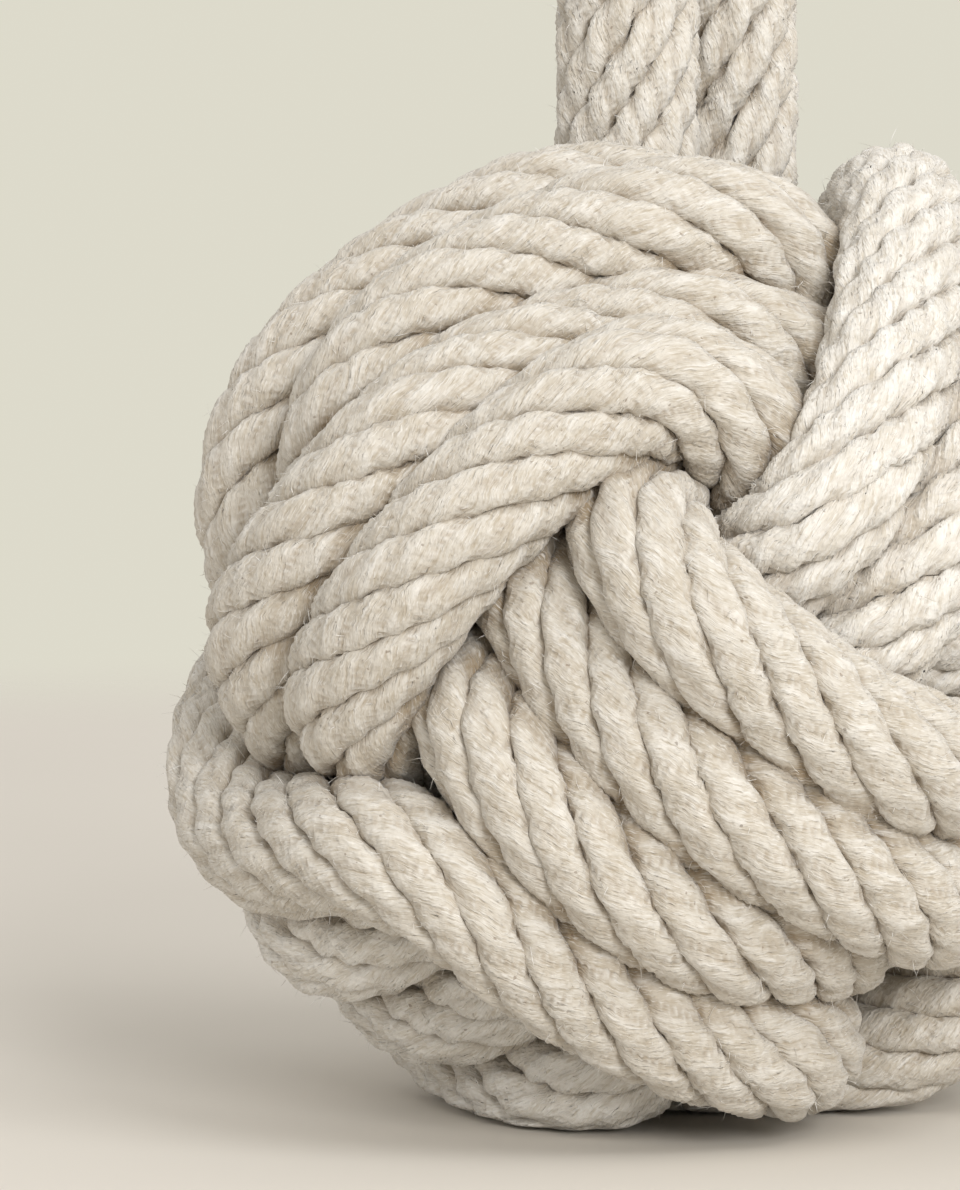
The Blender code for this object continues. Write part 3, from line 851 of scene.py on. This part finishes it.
def free_roots(rng, line, radius, amount, other_line, other_radius):
    """Roots for fibres in the open: where each is, the way out from the rope and the way along it."""
    tries, end_rows, thinned, other_thinned, floor_gap = amount * 5, 4, 6, 8, 0.004
    tangents, first, second = carried_frames(line)
    rows = rng.integers(end_rows, len(line) - end_rows, tries)
    turn = rng.uniform(0, 2 * math.pi, tries)
    outward = np.cos(turn)[:, None] * first[rows] + np.sin(turn)[:, None] * second[rows]
    roots = line[rows] + outward * radius * 0.93
    tips = line[rows] + outward * radius * 1.12
    free = exposed(tips, rows // thinned, line[::thinned], radius * 1.02)
    others = other_line[None, ::other_thinned, :]
    free &= np.linalg.norm(tips[:, None, :] - others, axis=2).min(axis=1) > other_radius
    free &= tips[:, 2] > floor_gap
    keep = np.nonzero(free)[0][:amount]
    return roots[keep], outward[keep], tangents[rows[keep]]


def raise_fibres(label, line, radius, amount, sizes, seed, other_line, other_radius):
    """Loose fibres that stand and curl off a rope, each a thin tapered thread of three sides."""
    rng = np.random.default_rng(seed)
    roots, outward, tangents = free_roots(rng, line, radius, amount, other_line, other_radius)
    count, joints = len(roots), 3
    aside = np.cross(tangents, outward)
    heading = rng.uniform(0, 2 * math.pi, count)
    lean = np.cos(heading)[:, None] * tangents + np.sin(heading)[:, None] * aside
    length = sizes.shortest + (sizes.longest - sizes.shortest) * rng.random(count) ** 2.5
    rise = rng.uniform(0.05, 0.8, count)[:, None]
    start = outward * rise + lean * (1 - rise)
    start /= np.linalg.norm(start, axis=1)[:, None]
    curl = rng.normal(0, 1, (count, 3)) * rng.uniform(0.3, 1.3, count)[:, None] - outward * 0.35
    share = np.linspace(0, 1, joints)
    middle = (
        roots[:, None, :]
        + start[:, None, :] * (share[None, :, None] * length[:, None, None])
        + curl[:, None, :] * (share[None, :, None] ** 2 * length[:, None, None] * 0.35)
    )
    lowest = 0.0006
    middle[..., 2] = np.maximum(middle[..., 2], lowest)
    side_way = np.cross(start, outward + 0.3 * lean)
    side_way /= np.linalg.norm(side_way, axis=1)[:, None]
    other_way = np.cross(start, side_way)
    rings = []
    for joint, thick in ((0, 0.5), (1, 0.4)):
        for angle in (0.0, 2 * math.pi / 3, 4 * math.pi / 3):
            off = math.cos(angle) * side_way + math.sin(angle) * other_way
            rings.append(middle[:, joint] + off * thick * sizes.thickness)
    vertices = np.stack([*rings, middle[:, 2]], axis=1).reshape(-1, 3)
    base = np.arange(count)[:, None, None] * 7
    sides = (base + np.array([[0, 1, 4, 3], [1, 2, 5, 4], [2, 0, 3, 5]])[None]).reshape(-1, 4)
    ends = (base + np.array([[2, 1, 0], [3, 4, 6], [4, 5, 6], [5, 3, 6]])[None]).reshape(-1, 3)
    return linked(label, mesh_of(label, vertices, sides, ends))


def wound_twine(node, material):
    """Twine wound close round a rope's end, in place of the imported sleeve."""
    corners = np.array([corner.co for corner in bpy.data.objects[node].data.vertices])
    corners = np.unique(np.round(corners, 6), axis=0)
    middle = corners.mean(axis=0)
    spread = np.linalg.svd(corners - middle)[2]
    lengths = [np.ptp((corners - middle) @ way) for way in spread]
    axis = spread[int(np.argmin(lengths))]
    length = min(lengths)
    outer = np.linalg.norm(corners - middle - np.outer((corners - middle) @ axis, axis), axis=1).max()
    looseness, points_per_turn, sides = 1.04, 28, 8
    turns = int(length / (TWINE_THICKNESS * looseness)) - 1
    first = unit(np.cross(axis, ASKEW))
    second = np.cross(axis, first)
    angle = np.linspace(0, 2 * math.pi * turns, turns * points_per_turn + 1)
    rise = np.linspace(-0.5, 0.5, len(angle)) * (length - TWINE_THICKNESS)
    outward = np.outer(np.cos(angle), first) + np.outer(np.sin(angle), second)
    line = middle + np.outer(rise, axis) + (outer - TWINE_THICKNESS / 2) * outward
    aside = np.cross(tangents_of(line), outward)
    around = 2 * math.pi * np.arange(sides) / sides
    out_part = np.cos(around)[None, :, None] * outward[:, None, :]
    side_part = np.sin(around)[None, :, None] * aside[:, None, :]
    rings = line[:, None, :] + TWINE_THICKNESS / 2 * (out_part + side_part)
    _, along = steps_and_along(line)
    thing = tube(node + "_twine", press_to_floor(rings), along, {}, 0.0, math.pi * TWINE_THICKNESS)
    thing.data.materials.append(material)
    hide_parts(node)
    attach(thing, "knot")


class DOORSTOP_OT_knot(bpy.types.Operator):
    """Lay the strands of the long rope that makes the knot"""

    bl_idname = "doorstop.knot"
    bl_label = "Lay the Knot Rope"

    def execute(self, context):
        rope, look = context.scene.doorstop_rope, context.scene.doorstop_look
        line = smooth_line(snug_route(), rope.ring_step)
        _, along = steps_and_along(line)
        share = along / along[-1]
        middle_start, middle_end, fade = 0.335, 0.665, 0.03
        middle_band = ease((share - middle_start) / fade) * ease((middle_end - share) / fade)
        lay = Lay(
            radius=rope.knot_radius,
            strands=rope.knot_strands,
            lead=rope.long_lead + (rope.short_lead - rope.long_lead) * middle_band,
            relief=0.25 + 0.11 * middle_band,
            nearness=nearness_of_turns(line, rope.knot_radius),
            yarns=rope.yarns,
            yarn_step=rope.yarn_step,
            seed=11,
        )
        slimming, sides = 0.035, 22
        radii = necked(along, rope.knot_radius, neck=0.0073, cut=0.0088) * (1 - slimming * middle_band)
        cotton = cotton_strand("knot_rope_cotton", look, rope.knot_radius, rope.yarns, rope.yarn_step)
        # The middle band takes the painted-light colour and lighter painted shade
        lay_rope("knot_rope", line, lay, radii, middle_band, sides, "knot", cotton, ("knot_rope",))
        return {"FINISHED"}


class DOORSTOP_OT_handle(bpy.types.Operator):
    """Lay the strands of the handle's rope"""

    bl_idname = "doorstop.handle"
    bl_label = "Lay the Handle Rope"

    def execute(self, context):
        rope, look = context.scene.doorstop_rope, context.scene.doorstop_look
        line = smooth_line(handle_route(), rope.ring_step)
        _, along = steps_and_along(line)
        lay = Lay(
            radius=rope.handle_radius,
            strands=rope.handle_strands,
            lead=np.full_like(along, rope.handle_lead),
            relief=np.full_like(along, 0.36),
            nearness=nearness_of_turns(line, rope.handle_radius),
            yarns=rope.yarns,
            yarn_step=rope.yarn_step,
            seed=61,
        )
        radii = necked(along, rope.handle_radius, neck=0.0100, cut=0.0114)
        # The handle takes a share of the painted-light colour and lighter painted shade
        painted_light_share = np.full_like(along, 0.35)
        cotton = cotton_strand("handle_rope_cotton", look, rope.handle_radius, rope.yarns, rope.yarn_step)
        over = (tuple(HINGE - [0, 0, 0.012]), tuple(HINGE + [0, 0, 0.012]))
        nodes = ("handle_loop", "handle_root_left", "handle_root_right")
        sides = 24
        lay_rope("handle_rope", line, lay, radii, painted_light_share, sides, "handle", cotton, nodes, over)
        return {"FINISHED"}


class DOORSTOP_OT_fibres(bpy.types.Operator):
    """Raise loose fibres off both ropes"""

    bl_idname = "doorstop.fibres"
    bl_label = "Raise the Loose Fibres"

    def execute(self, context):
        rope, sizes = context.scene.doorstop_rope, context.scene.doorstop_fibres
        knot_line = smooth_line(snug_route(), rope.ring_step)
        handle_line = smooth_line(handle_route(), rope.ring_step)
        knot_radius, handle_radius = rope.knot_radius, rope.handle_radius
        cotton = loose_fibre_cotton(context.scene.doorstop_look)
        knot = raise_fibres(
            "knot_loose_fibres", knot_line, knot_radius, sizes.on_knot, sizes, 5, handle_line, handle_radius
        )
        knot.data.materials.append(cotton)
        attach(knot, "knot")
        below_hinge = 0.004
        loop = handle_line[handle_line[:, 2] > HINGE[2] - below_hinge]
        handle = raise_fibres(
            "handle_loose_fibres", loop, handle_radius, sizes.on_handle, sizes, 6, knot_line, knot_radius
        )
        handle.data.materials.append(cotton)
        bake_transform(handle)
        return {"FINISHED"}


class DOORSTOP_OT_whippings(bpy.types.Operator):
    """Wind waxed twine round the four cut ends"""

    bl_idname = "doorstop.whippings"
    bl_label = "Wind the Whippings"

    def execute(self, context):
        twine = waxed_twine(context.scene.doorstop_look)
        for place in ("rope_start", "rope_finish", "handle_left", "handle_right"):
            wound_twine("whipping_" + place, twine)
        return {"FINISHED"}


class DOORSTOP_OT_core(bpy.types.Operator):
    """Give the iron ball inside the knot its cast skin"""

    bl_idname = "doorstop.core"
    bl_label = "Finish the Core Weight"

    def execute(self, context):
        ball = bpy.data.objects["core_weight"]
        iron = cast_iron(context.scene.doorstop_look)
        for place in ball.material_slots:
            place.material = iron
        return {"FINISHED"}


def hang_lamp(name, power, width, spot):
    light = bpy.data.lights.new(name, "AREA")
    light.energy = power
    light.shape = "DISK"
    light.size = width
    light.color = (1.0, 0.995, 0.985)
    lamp = linked(name, light)
    lamp.location = spot
    lit_place = Vector((0, 0, 0.08))
    lamp.rotation_euler = (lit_place - lamp.location).to_track_quat("-Z", "Y").to_euler()


def studio_world(sizes):
    """Even light from all round, with the backdrop's colour where it is seen or mirrored."""
    world = bpy.data.worlds.new("studio_light")
    world.use_nodes = True
    nodes, links = world.node_tree.nodes, world.node_tree.links
    fill = nodes["Background"]
    fill.inputs["Color"].default_value = (1.0, 0.972, 0.925, 1.0)
    fill.inputs["Strength"].default_value = sizes.fill_strength
    backdrop = nodes.new("ShaderNodeBackground")
    backdrop.inputs["Color"].default_value = opaque(sizes.wall_colour)
    path = nodes.new("ShaderNodeLightPath")
    seen = path.outputs["Is Camera Ray"]
    for kind in ("Is Glossy Ray", "Is Transmission Ray"):
        either = nodes.new("ShaderNodeMath")
        either.operation = "MAXIMUM"
        links.new(seen, either.inputs[0])
        links.new(path.outputs[kind], either.inputs[1])
        seen = either.outputs[0]
    both = nodes.new("ShaderNodeMixShader")
    links.new(seen, both.inputs[0])
    links.new(fill.outputs[0], both.inputs[1])
    links.new(backdrop.outputs[0], both.inputs[2])
    links.new(both.outputs[0], nodes["World Output"].inputs["Surface"])
    return world


def aimed_camera(sizes):
    """A camera that sees the knot as large and in the same place as in the photograph."""
    lens = bpy.data.cameras.new("camera")
    camera = linked("camera", lens)
    aim = Vector(KNOT_CENTRE) + Vector((0, 0, 0.004))
    away, up = sizes.azimuth, sizes.elevation
    back = Vector((math.sin(away) * math.cos(up), -math.cos(away) * math.cos(up), math.sin(up)))
    camera.location = aim + back * CAMERA_DISTANCE
    camera.rotation_euler = (-back).to_track_quat("-Z", "Y").to_euler()
    focal_pixels = KNOT_PIXEL_RADIUS / math.tan(math.asin(KNOT_RADIUS / CAMERA_DISTANCE))
    lens.sensor_fit = "VERTICAL"
    lens.sensor_height = 24
    lens.lens = focal_pixels / PHOTO_HEIGHT * lens.sensor_height
    lens.shift_x = (PHOTO_WIDTH / 2 - KNOT_PIXEL[0]) / PHOTO_HEIGHT
    lens.shift_y = (KNOT_PIXEL[1] - PHOTO_HEIGHT / 2) / PHOTO_HEIGHT
    lens.clip_start = 0.01
    lens.clip_end = 50
    return camera


class DOORSTOP_OT_stage(bpy.types.Operator):
    """Set up the floor, backdrop, lights and camera"""

    bl_idname = "doorstop.stage"
    bl_label = "Set the Stage"

    def execute(self, context):
        sizes, scene = context.scene.doorstop_stage, context.scene
        bpy.ops.object.select_all(action="DESELECT")
        bpy.ops.mesh.primitive_circle_add(vertices=96, radius=sizes.floor_radius * 1.05, fill_type="NGON")
        floor = context.object
        floor.name = "studio_floor"
        floor.data.materials.append(studio_paper(sizes))
        hang_lamp("key_light", sizes.key_power, width=1.2, spot=(0.72, -3.32, 1.24))
        hang_lamp("side_light", sizes.side_power, width=1.8, spot=(1.26, -1.94, 2.84))
        scene.world = studio_world(sizes)
        scene.view_settings.view_transform = "Standard"
        scene.camera = aimed_camera(sizes)
        return {"FINISHED"}


class DOORSTOP_PT_panel(bpy.types.Panel):
    """The doorstop's pieces and sizes"""

    bl_idname = "DOORSTOP_PT_panel"
    bl_label = "Rope Knot Doorstop"
    bl_space_type = "VIEW_3D"
    bl_region_type = "UI"
    bl_category = "Doorstop"

    def draw(self, context):
        layout = self.layout
        for operator in OPERATORS:
            layout.operator(operator.bl_idname)
        for group in ("doorstop_rope", "doorstop_fibres", "doorstop_look", "doorstop_stage"):
            settings = getattr(context.scene, group)
            box = layout.box()
            for name in settings.bl_rna.properties.keys():
                if name not in {"rna_type", "name"}:
                    box.prop(settings, name)


GROUPS = {
    "doorstop_rope": DOORSTOP_PG_rope,
    "doorstop_fibres": DOORSTOP_PG_fibres,
    "doorstop_look": DOORSTOP_PG_look,
    "doorstop_stage": DOORSTOP_PG_stage,
}
OPERATORS = (
    DOORSTOP_OT_stage,
    DOORSTOP_OT_core,
    DOORSTOP_OT_whippings,
    DOORSTOP_OT_knot,
    DOORSTOP_OT_handle,
    DOORSTOP_OT_fibres,
)


def register():
    for kind in (*GROUPS.values(), *OPERATORS, DOORSTOP_PT_panel):
        bpy.utils.register_class(kind)
    for name, kind in GROUPS.items():
        setattr(bpy.types.Scene, name, bpy.props.PointerProperty(type=kind))


def unregister():
    for name in GROUPS:
        delattr(bpy.types.Scene, name)
    for kind in (DOORSTOP_PT_panel, *reversed(OPERATORS), *reversed(GROUPS.values())):
        bpy.utils.unregister_class(kind)


def main():
    register()
    bpy.ops.doorstop.stage()
    bpy.ops.doorstop.core()
    bpy.ops.doorstop.whippings()
    bpy.ops.doorstop.knot()
    bpy.ops.doorstop.handle()
    bpy.ops.doorstop.fibres()


if __name__ == "__main__":
    main()
